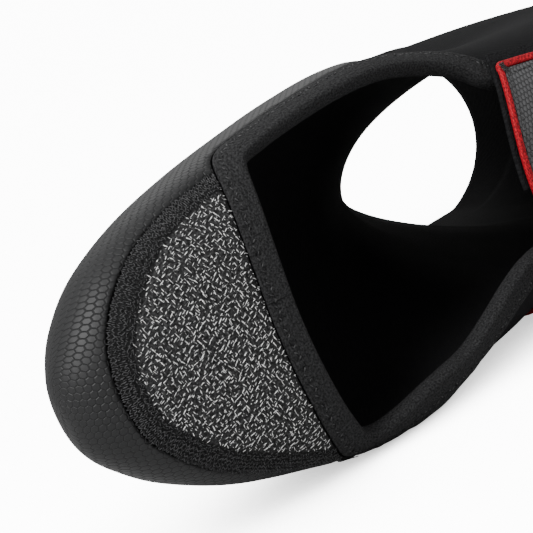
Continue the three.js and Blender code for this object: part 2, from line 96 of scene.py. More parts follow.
# Edge of the opening under the foot, and of the half-moon patch, as places on the flat pattern:
# a runs from the toe tip along the bottom line (share of length), b around to the outer side (of width)
mouthPlaces = [
    [0.251, 0.061], [0.2528, 0.206], [0.258, 0.33], [0.2649, 0.418], [0.275, 0.462], [0.2951, 0.48],
    [0.3229, 0.5], [0.3681, 0.522], [0.4097, 0.534], [0.4549, 0.531], [0.5, 0.507], [0.5382, 0.469],
    [0.566, 0.418], [0.5868, 0.356], [0.6111, 0.32], [0.6597, 0.304], [0.7292, 0.309],
    [0.7986, 0.32], [0.8611, 0.304], [0.9097, 0.237], [0.934, 0.113], [0.9392, 0], [0.934, -0.113],
    [0.9097, -0.227], [0.8611, -0.288], [0.7986, -0.299], [0.7292, -0.258], [0.6597, -0.196],
    [0.5972, -0.165], [0.5486, -0.175], [0.5104, -0.217], [0.4792, -0.268], [0.4361, -0.34],
    [0.3993, -0.361], [0.3681, -0.381], [0.3333, -0.418], [0.309, -0.439], [0.2934, -0.428],
    [0.2823, -0.381], [0.2681, -0.283], [0.258, -0.165], [0.2528, -0.052],
]
patchPlaces = [
    [0.2917, -0.495], [0.2573, -0.48], [0.2153, -0.444], [0.1753, -0.39], [0.1458, -0.343],
    [0.1174, -0.284], [0.0833, -0.183], [0.0708, -0.124], [0.0639, -0.061], [0.0611, 0],
    [0.0625, 0.065], [0.0684, 0.124], [0.0809, 0.191], [0.0955, 0.248], [0.1174, 0.311],
    [0.1424, 0.365], [0.1795, 0.414], [0.2337, 0.449], [0.2917, 0.454],
]
patternScale = np.array([shoe["length"], shoe["ballWidth"]])
perHalf = 110  # columns of the last on each side


def smoothStep(x, low, high):
    f = np.clip((np.asarray(x, float) - low) / (high - low), 0, 1)
    return f * f * (3 - 2 * f)


def throughPoints(table, places):  # smooth curve through the rows of a table
    i = np.clip(np.floor(places).astype(int), 0, len(table) - 2)
    f = (places - i)[:, None]
    padded = np.vstack([2 * table[0] - table[1], table, 2 * table[-1] - table[-2]])
    p0, p1, p2, p3 = padded[i], padded[i + 1], padded[i + 2], padded[i + 3]
    return 0.5 * (2 * p1 + (p2 - p0) * f + (2 * p0 - 5 * p1 + 4 * p2 - p3) * f ** 2
                  + (3 * p1 - p0 - 3 * p2 + p3) * f ** 3)


def runAlong(line):
    return np.concatenate([[0], np.cumsum(np.linalg.norm(np.diff(line, axis=0), axis=1))])


def buildLast(perStation=40, turns=160):
    count = (len(sections) - 1) * perStation + 1
    t = np.linspace(0, len(sections) - 1, count)
    xb, zb, xt, zt, wm, wl, vm, nl, nu, yc = throughPoints(sections, t).T
    angle = np.pi * (np.linspace(0, 1, turns + 1) - 0.5)
    c = np.clip(np.cos(angle), 0, None)[None]
    s = np.abs(np.sin(angle))[None]
    low = (angle < 0)[None]
    power = 2 / np.where(low, nl[:, None], nu[:, None])
    rise = s ** power
    v = np.where(low, vm[:, None] * (1 - rise), vm[:, None] + (1 - vm[:, None]) * rise)
    halves, lengths = [], []
    for way, width in ((-1, wm), (1, wl)):
        points = np.stack([xb[:, None] + (xt - xb)[:, None] * v,
                           yc[:, None] + way * width[:, None] * c ** power,
                           zb[:, None] + (zt - zb)[:, None] * v], axis=2)
        runs = [runAlong(row) for row in points]
        shares = np.linspace(0, 1, perHalf + 1)
        halves.append(np.array([[np.interp(shares * run[-1], run, row[:, axis]) for axis in range(3)]
                                for run, row in zip(runs, points)]).transpose(0, 2, 1))
        lengths.append(np.array([run[-1] for run in runs]))
    grid = np.concatenate([halves[0][:, ::-1], halves[1][:, 1:]], axis=1)
    return t, runAlong(np.stack([xb, zb], axis=1)), *lengths, grid


lastT, lastWay, innerLength, outerLength, lastGrid = buildLast()


def tOfA(a):
    return np.interp(a, lastWay, lastT)


def aOfT(t):
    return np.interp(t, lastT, lastWay)


def halfLength(t, side):  # way around from the bottom line to the top line, inner side where side is below 0
    inner, outer = (np.interp(t, lastT, length) for length in (innerLength, outerLength))
    return np.where(np.asarray(side) >= 0, outer, inner)


hemStart = float(tOfA(lastWay[-1] - shoe["hemHeight"]))
coverEnd = float(tOfA(shoe["coverLength"]))


def layDown():  # toe to the left, sole to the camera, outer side up, lowest side flat on the floor
    up = Vector(shoe["lieUp"]).normalized()
    left = (Vector((-1, 0, 0)) + up * up.x).normalized()
    turn = np.array([left, up.cross(left), up])
    world = lastGrid @ turn.T
    layers = np.where(lastT > hemStart, shoe["hemStep"], (shoe["gap"] + shoe["coverThickness"])
                      * (1 - smoothStep(lastT, coverEnd, coverEnd + 1.6)))
    side = world[40:, perHalf // 5:perHalf, 2] - layers[40:, None]
    shift = np.array([shoe["length"] / 2, 0, -side.min() - shoe["restDepth"]])
    world = world + shift
    over = world[:, :, 2] - layers[:, None]
    blend = shoe["restBlend"]
    flat = layers[:, None] + np.clip(over + blend, 0, None) ** 2 / (4 * blend)
    world[:, :, 2] = np.where(over < blend, flat, world[:, :, 2])
    return world, turn, shift


laid, lieTurn, lieShift = layDown()
wrapped = np.concatenate([laid[:, -2:-1], laid, laid[:, 1:2]], axis=1)
alongGrid = np.gradient(laid, axis=0)
acrossGrid = wrapped[:, 2:] - wrapped[:, :-2]
normalGrid = np.cross(alongGrid, acrossGrid)
normalGrid /= np.linalg.norm(normalGrid, axis=2, keepdims=True) + 1e-12
originShift = np.zeros(3)  # set below, from the CAD box


def lookUp(grid, row, column):
    i = np.clip(np.floor(row).astype(int), 0, grid.shape[0] - 2)
    j = np.clip(np.floor(column).astype(int), 0, grid.shape[1] - 2)
    f = (row - i)[:, None]
    g = (column - j)[:, None]
    return (grid[i, j] * (1 - f) * (1 - g) + grid[i + 1, j] * f * (1 - g)
            + grid[i, j + 1] * (1 - f) * g + grid[i + 1, j + 1] * f * g)


def shareOf(a, b):  # way around as a share of the half section, minus on the inner side
    t = tOfA(a)
    inner, outer = halfLength(t, -1), halfLength(t, 1)
    b = np.where(b > outer, b - outer - inner, b)
    b = np.where(b < -inner, b + outer + inner, b)
    return np.where(b >= 0, b / outer, b / inner)


def frameOnLast(a, b):
    a, b = np.broadcast_arrays(np.atleast_1d(np.asarray(a, float)), np.atleast_1d(np.asarray(b, float)))
    row = np.interp(tOfA(a), lastT, np.arange(len(lastT)))
    column = (shareOf(a, b) + 1) * perHalf
    point = lookUp(laid, row, column)
    normal = lookUp(normalGrid, row, column)
    normal /= np.linalg.norm(normal, axis=1, keepdims=True)
    return point, normal


def onLast(a, b, h):  # place on the pattern, raised by h, in metres of the scene
    point, normal = frameOnLast(a, b)
    return (point + normal * np.broadcast_to(h, len(point))[:, None] + originShift) * 0.001


def centreOnFrame():
    share, t = np.meshgrid(np.linspace(-1, 1, 2 * perHalf, endpoint=False), np.linspace(0.4, lastT[-1], 900))
    share, t = share.ravel(), t.ravel()
    shell = onLast(aOfT(t), share * halfLength(t, share), np.where(t > hemStart, shoe["hemStep"], 0))
    low, high = (np.array(corner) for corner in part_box("upper"))
    return 1000 * ((low + high) / 2 - (shell.min(0) + shell.max(0)) / 2) * [1, 1, 0]


originShift = centreOnFrame()
print("last laid down, shifted by", originShift.round(3).tolist())


def closedCurve(places, count):
    table = np.array(places) * patternScale
    table = np.vstack([table[-1:], table, table[:2]])
    fine = throughPoints(table, np.linspace(1, len(table) - 2, 40 * len(places)))
    run = runAlong(fine)
    even = np.linspace(0, run[-1], count, endpoint=False)
    return np.stack([np.interp(even, run, column) for column in fine.T], axis=1)


def outwards(line):
    step = np.roll(line, -1, axis=0) - np.roll(line, 1, axis=0)
    step /= np.linalg.norm(step, axis=1, keepdims=True)
    return np.stack([-step[:, 1], step[:, 0]], axis=1)


def widened(line, distance):
    return line + outwards(line) * distance


def insideRing(points, ring):
    x, y = points.T[:, :, None]
    x1, y1 = ring.T[:, None]
    x2, y2 = np.roll(ring, -1, axis=0).T[:, None]
    crosses = (y1 > y) != (y2 > y)
    cut = x1 + (y - y1) / np.where(y2 == y1, 1, y2 - y1) * (x2 - x1)
    return (crosses & (x < cut)).sum(axis=1) % 2 == 1


def distanceToRing(points, ring):
    best = np.full(len(points), 1e9)
    for p, q in zip(ring, np.roll(ring, -1, axis=0)):
        leg = q - p
        f = np.clip(((points - p) @ leg) / max(leg @ leg, 1e-9), 0, 1)
        best = np.minimum(best, np.linalg.norm(points - p - f[:, None] * leg, axis=1))
    return best


def newObject(name, data):
    thing = bpy.data.objects.new(name, data)
    scene.collection.objects.link(thing)
    return thing


def storeOnPoints(mesh, name, kind, key, values):
    layer = mesh.attributes.new(name, kind, "POINT")
    layer.data.foreach_set(key, values.astype(np.float32).ravel())


def makeObject(name, points, faces, uv=None):
    mesh = bpy.data.meshes.new(name)
    mesh.from_pydata([tuple(p) for p in points], [], [tuple(f) for f in faces])
    if uv is not None:
        layer = mesh.uv_layers.new(name="UVMap")
        corners = np.empty(len(mesh.loops), dtype=int)
        mesh.loops.foreach_get("vertex_index", corners)
        layer.data.foreach_set("uv", uv[corners].astype(np.float32).ravel())
    mesh.shade_smooth()
    return newObject(name, mesh)


def patternUv(a, b):  # the flat pattern in metres, kept above zero
    return np.stack([a * 0.001 + 0.05, b * 0.001 + 0.25], axis=1)


def latticeRows(end, step):
    t = np.linspace(0, end, 4000)
    pace = np.maximum(np.gradient(aOfT(t), t), 0.55 * np.abs(np.gradient(halfLength(t, 1), t)))
    run = np.concatenate([[0], np.cumsum(0.5 * (pace[1:] + pace[:-1]) * np.diff(t))])
    rows = int(run[-1] / step)
    return np.interp(np.linspace(0, run[-1], rows + 1), run, t)


def cutFromPattern(name, end, look, rings, heightOf, measure=None):
    # Lattice over the last from the toe tip to station end, cut along rings of pattern places. Each ring
    # says which side stays: "in", "out" or, for an open line, "front".
    rows = latticeRows(end, look["step"])
    around = look["around"]
    u, v = np.meshgrid(np.arange(len(rows)), np.arange(-around, around + 1), indexing="ij")
    lattice = np.stack([u.ravel(), v.ravel()], axis=1).astype(float)

    def toPlane(places):
        return np.stack([np.interp(tOfA(places[:, 0]), rows, np.arange(len(rows))),
                         shareOf(places[:, 0], places[:, 1]) * around], axis=1)

    planeRings = [toPlane(ring) for _, ring in rings]
    for ring in planeRings:
        onRim = (lattice[:, 0] == 0) | (lattice[:, 0] == len(rows) - 1) | (np.abs(lattice[:, 1]) == around)
        lattice = lattice[(distanceToRing(lattice, ring) >= 0.42) | onRim]
    edges = []
    start = len(lattice)
    for ring in planeRings:
        inPlane = (ring[:, 0] < len(rows) - 1) & (np.abs(ring[:, 1]) <= around)
        edges += [(start + k, start + (k + 1) % len(ring)) for k in range(len(ring))
                  if inPlane[k] and inPlane[(k + 1) % len(ring)]]
        start += len(ring)
    points = np.vstack([lattice, *planeRings])
    result = delaunay_2d_cdt([Vector(p) for p in points], edges, [], 0, 1e-5, False)
    plane = np.array([tuple(p) for p in result[0]])
    faces = np.array([f for f in result[2] if len(f) == 3])
    for (side, _), ring in zip(rings, planeRings):
        middle = plane[faces].mean(axis=1)
        front = middle[:, 0] < np.interp(middle[:, 1], ring[:, 1], ring[:, 0])
        faces = faces[front if side == "front" else insideRing(middle, ring) == (side == "in")]
    used, faces = np.unique(faces, return_inverse=True)
    plane = plane[used]
    a = aOfT(np.interp(plane[:, 0], np.arange(len(rows)), rows))
    share = plane[:, 1] / around
    b = share * halfLength(tOfA(a), share)
    piece = makeObject(name, onLast(a, b * 0.999999, heightOf(a, b)), faces.reshape(-1, 3), patternUv(a, b))
    if measure:  # a patch: its points keep their measure, and the tip isn't part of it
        storeOnPoints(piece.data, measure.__name__, "FLOAT", "value", measure(a, b) * 0.001)
    else:
        reshape(piece, weldTip)
        piece.data.shade_smooth()
    return piece


def reshape(piece, change):
    work = bmesh.new()
    work.from_mesh(piece.data)
    change(work)
    work.to_mesh(piece.data)
    work.free()
    return piece


def weldTip(work):  # joins the top line and closes the small hole at the toe tip
    bmesh.ops.remove_doubles(work, verts=work.verts, dist=0.00002)
    tip = Vector(onLast(0, 0, 0)[0])
    rim = [e for e in work.edges if e.is_boundary and all((v.co - tip).length < 0.003 for v in e.verts)]
    bmesh.ops.holes_fill(work, edges=rim, sides=0)


def addShell(piece, thickness):
    shell = piece.modifiers.new("thickness", "SOLIDIFY")
    shell.thickness = thickness * 0.001
    shell.offset = -1
    shell.use_quality_normals = True
    return piece


def addRun(name, a, b, h, uv, closedAlong=False, closedAround=True):  # rows of rings, given as pattern places
    n, m = a.shape
    points = onLast(a.ravel(), b.ravel(), h.ravel())
    faces = []
    for i in range(n if closedAlong else n - 1):
        for j in range(m if closedAround else m - 1):
            k, l = (i + 1) % n, (j + 1) % m
            faces.append((i * m + j, i * m + l, k * m + l, k * m + j))
    if not closedAlong and closedAround:
        faces.append(tuple(range(m - 1, -1, -1)))
        faces.append(tuple((n - 1) * m + j for j in range(m)))
    places = np.stack([np.broadcast_to(x, a.shape).ravel() for x in uv], axis=1)
    piece = makeObject(name, points, faces, places)
    if closedAround:
        reshape(piece, lambda work: bmesh.ops.recalc_face_normals(work, faces=work.faces))
    return piece


class Wire:  # an output of a node: each step on it adds a node to its tree
    def __init__(self, tree, socket):
        self.tree, self.socket = tree, socket

    def also(self, name):  # another output of the same node
        return Wire(self.tree, self.socket.node.outputs[name])

    def maths(self, operation, *others):
        return wire(self.tree, "ShaderNodeMath", dict(enumerate((self, *others))), operation=operation)

    def vectors(self, operation, *others):
        return wire(self.tree, "ShaderNodeVectorMath", dict(enumerate((self, *others))), operation=operation)

    def scaled(self, factor):
        return wire(self.tree, "ShaderNodeVectorMath", {0: self, "Scale": factor}, operation="SCALE")

    def axis(self, name):
        return wire(self.tree, "ShaderNodeSeparateXYZ", {0: self}).also(name)

    __add__, __sub__, __mul__, __truediv__, __mod__, __lt__ = (
        lambda self, other, operation=operation: self.maths(operation, other)
        for operation in ("ADD", "SUBTRACT", "MULTIPLY", "DIVIDE", "MODULO", "LESS_THAN"))


def plug(socket, value):
    if isinstance(value, Wire):
        value.tree.links.new(value.socket, socket)
    else:
        socket.default_value = value


def wire(tree, kind, inputs=None, output=None, **settings):  # adds a node: its first output, or a named one
    node = tree.nodes.new(kind)
    for key, value in settings.items():
        setattr(node, key, value)
    for key, value in (inputs or {}).items():
        plug(node.inputs[key], value)
    return Wire(tree, node.outputs[output] if output else [s for s in node.outputs if s.enabled][0])


def joined(x, y, z=0.0):
    return wire(x.tree, "ShaderNodeCombineXYZ", {0: x, 1: y, 2: z})


def newTree(name, kind, inputs, outputs):
    tree = bpy.data.node_groups.new(name, kind)
    names = {}
    for way, sockets in (("OUTPUT", outputs), ("INPUT", inputs)):
        for key, socketKind in sockets:
            socket = tree.interface.new_socket(name=key, in_out=way, socket_type="NodeSocket" + socketKind)
            names[key] = socket.identifier
    put = {socket.name: Wire(tree, socket) for socket in tree.nodes.new("NodeGroupInput").outputs}
    return tree, put, tree.nodes.new("NodeGroupOutput").inputs, names


def hexGroup():  # six-sided cells: distance from the middle, 0.5 at the edge, place across, and a cell number
    tree, put, out, _ = newTree("hexCells", "ShaderNodeTree", [("Vector", "Vector")],
                                [("Distance", "Float"), ("Across", "Vector"), ("Cell", "Float")])
    half = (0.5, math.sqrt(3) / 2, 0.5)
    place = put["Vector"]
    first, second = (place.vectors("SUBTRACT", shift).vectors("WRAP", half, tuple(-x for x in half))
                     .vectors("MULTIPLY", (1, 1, 0)) for shift in ((0, 0, 0), half))
    nearer = first.vectors("LENGTH") < second.vectors("LENGTH")
    chosen = wire(tree, "ShaderNodeMix", {"Factor": nearer, "A": second, "B": first}, data_type="VECTOR")
    size = chosen.vectors("ABSOLUTE")
    edge = size.axis("X").maths("MAXIMUM", size.vectors("DOT_PRODUCT", half))
    home = place.vectors("SUBTRACT", chosen)
    number = wire(tree, "ShaderNodeTexWhiteNoise", {"Vector": home}, noise_dimensions="3D")
    for result, socket in zip((edge, chosen, number), out):
        plug(socket, result)
    return tree


hexCells = hexGroup()


def ramp(value, low, high, lowOut=0.0, highOut=1.0):
    values = {"Value": value, "From Min": low, "From Max": high, "To Min": lowOut, "To Max": highOut}
    return wire(value.tree, "ShaderNodeMapRange", values, interpolation_type="SMOOTHSTEP")


def mixColour(factor, *colours):
    one, two = ((*c, 1) if isinstance(c, tuple) else c for c in colours)
    return wire(factor.tree, "ShaderNodeMix", {"Factor": factor, "A": one, "B": two}, data_type="RGBA")


def noiseOn(vector, scale, detail=2.0, roughness=0.5):
    values = {"Vector": vector, "Scale": scale, "Detail": detail, "Roughness": roughness}
    return wire(vector.tree, "ShaderNodeTexNoise", values)


def waveOn(vector, pitch, direction, distortion, detail=2.0, detailScale=1.0):
    values = {"Vector": vector, "Scale": 0.16 / pitch, "Distortion": distortion, "Detail": detail,
              "Detail Scale": detailScale}
    return wire(vector.tree, "ShaderNodeTexWave", values, bands_direction=direction)


def spotsOn(vector, scale):
    return wire(vector.tree, "ShaderNodeTexVoronoi", {"Vector": vector, "Scale": scale}, feature="F1")


def newMaterial(name, colour, roughness, specular=0.5):
    material = bpy.data.materials.new(name)
    material.use_nodes = True
    inputs = material.node_tree.nodes["Principled BSDF"].inputs
    inputs["Base Color"].default_value = (*colour, 1)
    inputs["Roughness"].default_value = roughness
    inputs["Specular IOR Level"].default_value = specular
    return material, inputs


def painted(name, paint, look, roughness, specular, base="light"):
    material, inputs = newMaterial(name, look[base], roughness, specular)
    tree = material.node_tree
    if paint is threadPaint:
        place = wire(tree, "ShaderNodeTexCoord", output="Object")
    else:  # on the flat pattern, counted in pitches
        scale = 1 / look.get("pitch", 1.0)
        place = wire(tree, "ShaderNodeMapping", {0: wire(tree, "ShaderNodeUVMap", uv_map="UVMap"),
                     "Rotation": (0, 0, look.get("turn", 0.0)), "Scale": (scale, scale, 1)})
    colour, bumps, *rough = paint(place, look)
    below = {}
    for height, distance, strength in bumps:
        values = {"Height": height, "Distance": distance, "Strength": strength, **below}
        below = {"Normal": wire(tree, "ShaderNodeBump", values)}
    for key, value in {"Base Color": colour, **below, **dict(zip(["Roughness"], rough))}.items():
        plug(inputs[key], value)
    return material


softshell = {"dark": (0.0055, 0.0055, 0.006), "light": (0.0135, 0.0135, 0.0142), "knitPitch": 0.0006,
             "grain": 1900}
# coating: "groove" is painted shade, a darker colour laid in the recesses between the hex cells
coating = {"dark": (0.011, 0.0112, 0.0116), "light": (0.0165, 0.0167, 0.0172),
           "groove": (0.0055, 0.0055, 0.0057), "pitch": 0.0021, "turn": 0.15, "rough": 0.75, "smooth": 0.52}
wearCloth = {"dark": (0.003, 0.003, 0.0032), "light": (0.055, 0.055, 0.056), "border": 0.0064,
             "borderDark": (0.002, 0.002, 0.0022), "borderLight": (0.012, 0.012, 0.0125), "rib": 0.0009,
             "grain": 1300}
elastic = {"dark": (0.0032, 0.0032, 0.0035), "light": (0.035, 0.035, 0.036), "rib": 0.00075, "grain": 1700,
           "lint": (0.035, 0.035, 0.036)}
loopCloth = {"dark": (0.003, 0.003, 0.0035), "light": (0.014, 0.014, 0.015), "pile": 1500}
# strapTop: "groove" is painted shade, a darker colour laid in the grooves and on one side of each scale
strapTop = {"dark": (0.06, 0.06, 0.062), "light": (0.105, 0.105, 0.108), "groove": (0.005, 0.005, 0.0055),
            "pitch": 0.0017, "rough": 0.62, "smooth": 0.42}
redTape = {"dark": (0.09, 0.001, 0.003), "light": (0.62, 0.006, 0.02), "rib": 0.00038, "grain": 1150}
threads = {  # light patches, how many a metre holds: painted glints on the black and border threads, tone on the white and grey yarns
    "blackThread": {"dark": (0.003, 0.003, 0.0032), "light": (0.045, 0.045, 0.046), "patches": 700},
    "borderThread": {"dark": (0.001, 0.001, 0.0012), "light": (0.062, 0.062, 0.064), "patches": 1500},
    "whiteYarn": {"dark": (0.5, 0.5, 0.5), "light": (0.98, 0.98, 0.97), "patches": 520},
    "greyYarn": {"dark": (0.08, 0.08, 0.08), "light": (0.7, 0.7, 0.7), "patches": 620},
}


# Each paint gives colour, bumps as (height, metres, strength), and roughness where it varies
def shellPaint(uv, look):
    knit = waveOn(uv, look["knitPitch"], "DIAGONAL", 1.2, 2.0, 2.0)
    grain = noiseOn(uv, look["grain"], 3, 0.65)
    broad = noiseOn(uv, 28, 3)
    tone = ramp(grain, 0.3, 0.7) * broad + 0.2
    return (mixColour(tone, look["dark"], look["light"]),
            [(broad, 0.0006, 0.25), (knit, 0.00012, 0.35), (grain, 0.0003, 0.5)],
            ramp(grain, 0.3, 0.7, 0.75, 0.92))


def coatingPaint(uv, look):
    cells = wire(uv.tree, "ShaderNodeGroup", {0: uv}, node_tree=hexCells)
    tilt = ramp(cells.also("Across").axis("X"), 0.5, -0.5)
    dome = ramp(cells, 0.5, 0.36)
    groove = ramp(cells, 0.495, 0.445)
    body = mixColour(noiseOn(uv, 0.06, 3), look["dark"], look["light"])
    # painted shade: the grooves between the cells take the darker groove colour
    return (mixColour(groove, look["groove"], body),
            [(dome, 0.00022, 0.7), (tilt, 0.00036, 0.85), (cells.also("Cell"), 0.00006, 0.25),
             (noiseOn(uv, 9, 2), 0.00004, 0.5)],
            ramp(groove, 0, 1, look["rough"], look["smooth"]))


def wearPaint(uv, look):
    inside = wire(uv.tree, "ShaderNodeAttribute", output="Fac", attribute_name="fromEdge")
    zone = ramp(inside, look["border"] - 0.0004, look["border"] + 0.0004)
    warp = waveOn(uv, look["rib"], "X", 2.5, 1.0, 3.0)
    weft = waveOn(uv, look["rib"] * 4 / 3, "Y", 2.5, 1.0, 3.0)
    grain = noiseOn(uv, look["grain"], 3, 0.7)
    sharp = ramp(grain, 0.35, 0.75)
    cloth = mixColour(sharp, look["dark"], look["light"])
    edge = mixColour(sharp, look["borderDark"], look["borderLight"])
    return mixColour(zone, edge, cloth), [(warp * weft, 0.0004, 0.7), (grain, 0.0006, 0.9)]


def elasticPaint(uv, look):
    ribs = waveOn(uv, look["rib"], "Y", 0.6)
    grain = noiseOn(uv, look["grain"], 3, 0.65)
    speck = ramp(spotsOn(uv, 330.0), 0.16, 0.05)
    tone = mixColour(ramp(grain, 0.3, 0.7), look["dark"], look["light"])
    return (mixColour(speck, tone, look["lint"]),
            [(ribs, 0.0001, 0.3), (noiseOn(uv, 380, 2), 0.0011, 0.7), (grain, 0.0005, 1.0)])


def loopPaint(uv, look):
    pile = spotsOn(uv, look["pile"])
    return mixColour(pile, look["light"], look["dark"]), [(pile, 0.0004, 0.8)]


def strapPaint(uv, look):
    cells = wire(uv.tree, "ShaderNodeGroup", {0: uv}, node_tree=hexCells)
    across = cells.also("Across").axis("X")
    groove = ramp(cells, 0.43, 0.3)
    # painted shade: the grooves and one side of each scale are darkened in the colour
    paintedShadeCrescent = ramp(across, -0.06, 0.12).maths("MAXIMUM", groove)
    scale = groove * ramp(across, -0.5, 0.5)
    fine = noiseOn(uv, 8, 3)
    body = mixColour(noiseOn(uv, 0.15, 2), look["dark"], look["light"])
    return (mixColour(paintedShadeCrescent, look["groove"], body), [(scale, 0.0004, 0.8), (fine, 0.00005, 0.5)],
            ramp(fine, 0.3, 0.7, look["smooth"], look["rough"]))


def redPaint(uv, look):
    twill = waveOn(uv, look["rib"], "DIAGONAL", 0.5)
    grain = noiseOn(uv, look["grain"], 3, 0.7)
    tone = ramp(grain, 0.34, 0.62) * ramp(twill, 0, 1, 0.6, 1)
    return mixColour(tone, look["dark"], look["light"]), [(twill, 0.0001, 0.4), (grain, 0.0003, 0.6)]


def threadPaint(place, look):
    grain = noiseOn(place, 2400, 2)
    # painted highlight: the light patches stand for glints on the dark threads; on the yarns they are tone
    tone = ramp(grain * noiseOn(place, look["patches"], 1), 0.12, 0.36)
    return mixColour(tone, look["dark"], look["light"]), [(grain, 0.0001, 0.5)]


materials = {
    "upper": painted("softshell", shellPaint, softshell, 0.85, 0.08),
    "cover": painted("embossedCoating", coatingPaint, coating, 0.5, 0.3),
    "patch": painted("wearCloth", wearPaint, wearCloth, 0.8, 0.2, "dark"),
    "tape": painted("elasticTape", elasticPaint, elastic, 0.8, 0.15),
    "loop": painted("loopCloth", loopPaint, loopCloth, 0.95, 0.15, "dark"),
    "strap": painted("strapCoating", strapPaint, strapTop, 0.5, 0.35),
    "edging": painted("edgingTape", redPaint, redTape, 0.6, 0.2),
}
for thread, roughness, specular in (("blackThread", 0.45, 0.4), ("borderThread", 0.5, 0.3),
                                    ("whiteYarn", 0.65, 0.2), ("greyYarn", 0.65, 0.2)):
    materials[thread] = painted(thread, threadPaint, threads[thread], roughness, specular)
print("materials ready")


def meshFlow(name, *inputs):  # a Geometry Nodes tree with a mesh in, a mesh out, and named inputs
    sockets = [("Geometry", "Geometry"), *((key, "Float") for key in inputs), ("Seed", "Int"),
               ("Material", "Material")]
    tree, put, out, names = newTree(name, "GeometryNodeTree", sockets, sockets[:1])

    def finish(points, rotation, segments, rings, scale):  # a small thread on each point
        shape = {"Segments": segments, "Rings": rings, "Radius": 0.5}
        step = wire(tree, "GeometryNodeInstanceOnPoints", {
            "Points": points, "Instance": wire(tree, "GeometryNodeMeshUVSphere", shape),
            "Rotation": rotation, "Scale": scale})
        for kind in ("GeometryNodeRealizeInstances", "GeometryNodeSetShadeSmooth"):
            step = wire(tree, kind, {"Geometry": step})
        plug(out[0], wire(tree, "GeometryNodeSetMaterial", {"Geometry": step, "Material": put["Material"]}))
        return tree, names, inputs

    return tree, put, finish


def readField(tree, name, kind="FLOAT_VECTOR"):
    return wire(tree, "GeometryNodeInputNamedAttribute", {"Name": name}, data_type=kind)


def randomField(low, high, seed, **inputs):
    values = {"Min": low, "Max": high, "Seed": seed, **inputs}
    return wire(seed.tree, "FunctionNodeRandomValue", values, data_type="FLOAT")


def aimed(up, ahead):
    return wire(up.tree, "FunctionNodeAxesToRotation", {"Primary Axis": up, "Secondary Axis": ahead},
                primary_axis="Z", secondary_axis="X")


def stitchTree():  # threads along a line, each other one leaning the other way
    tree, put, finish = meshFlow("stitchRow", "Spacing", "Length", "Width", "Sway", "Lean", "Jitter", "Stray")
    curve = wire(tree, "GeometryNodeMeshToCurve", {"Mesh": put["Geometry"]})
    points = wire(tree, "GeometryNodeCurveToPoints", {"Curve": curve, "Length": put["Spacing"]},
                  mode="LENGTH")
    ahead = points.also("Tangent")
    faceUp = readField(tree, "faceUp")
    index = wire(tree, "GeometryNodeInputIndex")
    way = index % 2 * 2 - 1
    sideways = randomField(-1.0, 1.0, put["Seed"], ID=index * 7 + 3)
    offset = faceUp.vectors("CROSS_PRODUCT", ahead).scaled(sideways * put["Stray"] + way * put["Sway"])
    lean = way * put["Lean"] + randomField(-1.0, 1.0, put["Seed"]) * put["Jitter"]
    turn = wire(tree, "FunctionNodeAxisAngleToRotation", {"Axis": (0, 0, 1), "Angle": lean})
    turned = wire(tree, "FunctionNodeRotateRotation", {"Rotation": aimed(faceUp, ahead), "Rotate By": turn},
                  rotation_space="LOCAL")
    moved = wire(tree, "GeometryNodeSetPosition", {"Geometry": points, "Offset": offset})
    return finish(moved, turned, 6, 5, joined(put["Length"], put["Width"], put["Width"]))


fleckField = {"size": 0.11, "centre": (0.05 + 0.066, 0.25, 0)}  # square of the flat pattern, metres


